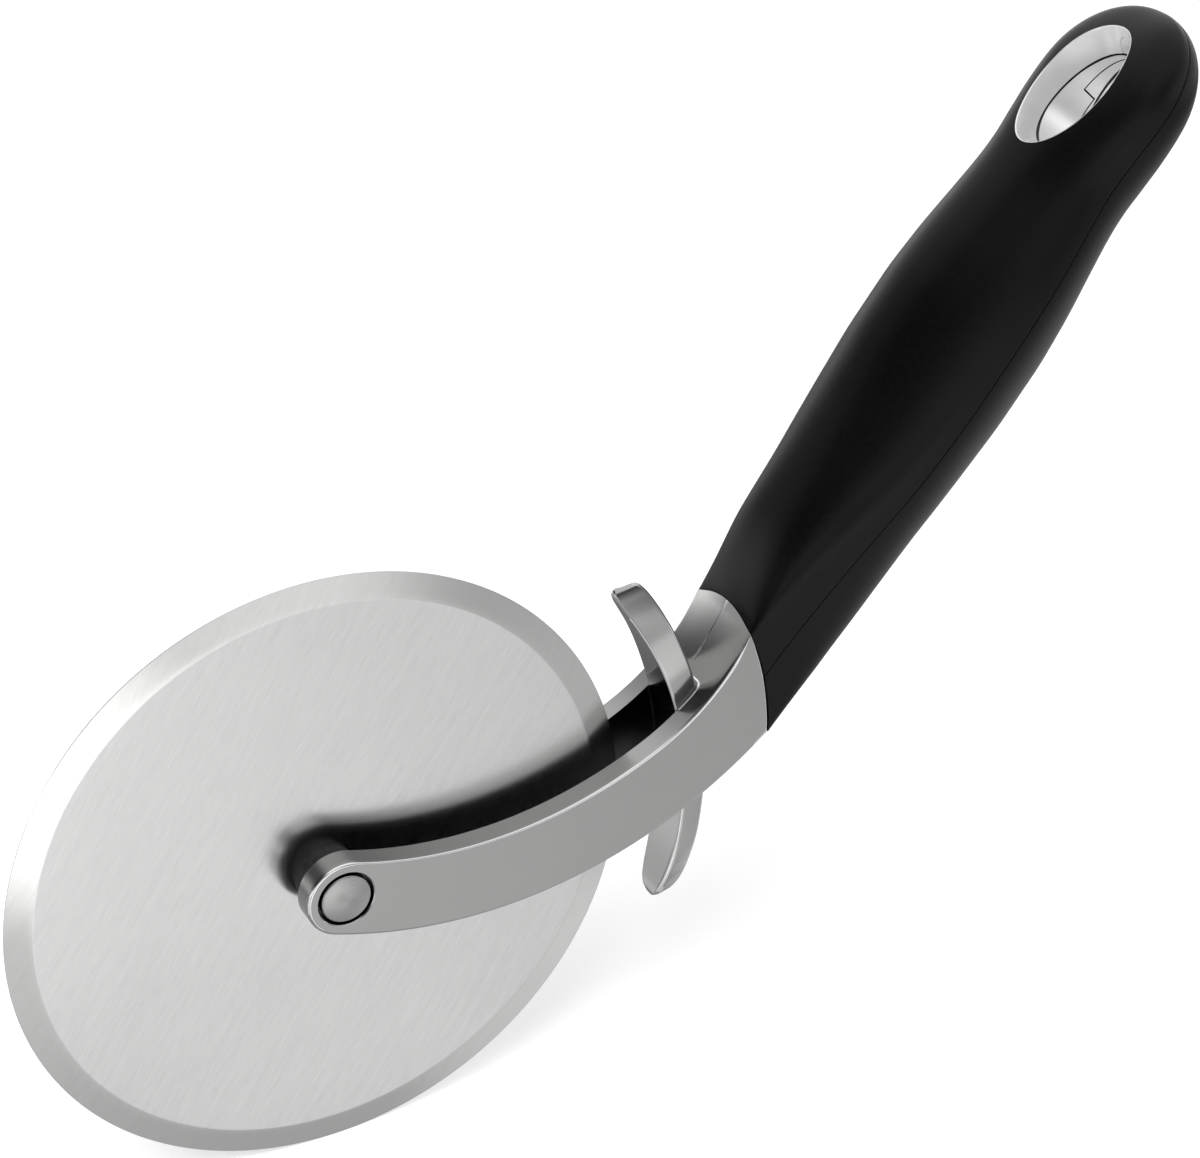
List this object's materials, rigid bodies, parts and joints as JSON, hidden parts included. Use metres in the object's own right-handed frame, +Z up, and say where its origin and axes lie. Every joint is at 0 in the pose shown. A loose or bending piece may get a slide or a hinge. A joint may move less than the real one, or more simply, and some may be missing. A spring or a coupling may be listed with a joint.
{
  "type": "pizza cutter wheel",
  "caption": "Hand pizza cutter: a round steel blade turning in a forked metal head with a curved finger guard and a soft black handle with an oval hanging eye.",
  "frame": {"origin": "middle of the oval hanging eye, half way through the handle", "axes": "+X from the wheel towards the handle's end, +Y along the wheel's axle, +Z up, with the wheel standing on its board and the handle rising behind it"},
  "size_m": [0.1996, 0.0294, 0.1638],
  "materials": {
    "blade_steel": "satin brushed stainless steel, ground bevel at the rim",
    "satin_casting": "satin nickel plated die casting",
    "pin_steel": "turned steel",
    "bush_nylon": "moulded black nylon",
    "core_plastic": "moulded black plastic",
    "soft_black": "fine soft-touch black",
    "bright_chrome": "bright chrome plating"
  },
  "bodies": {
    "tool": {"fork_near": "satin_casting", "fork_far": "satin_casting", "finger_guard": "satin_casting", "dowel_pins": "pin_steel", "axle_barrel": "pin_steel", "axle_screw": "pin_steel", "thrust_washer_near": "bush_nylon", "thrust_washer_far": "bush_nylon", "handle_core": "core_plastic", "core_screws": "pin_steel", "handle_top": "soft_black", "handle_bottom": "soft_black", "eye_dish_top": "bright_chrome", "eye_sleeve_upper": "bright_chrome", "eye_sleeve_lower": "bright_chrome", "eye_dish_bottom": "bright_chrome"},
    "wheel": {"cutting_wheel": "blade_steel", "wheel_bush_near": "bush_nylon", "wheel_bush_far": "bush_nylon"}
  },
  "joints": [
    {"name": "wheel_spin", "type": "hinge", "parent": "tool", "child": "wheel", "pos_m": [-0.1365, 0, -0.09868], "axis": [0, 1, 0], "continuous": true}
  ]
}
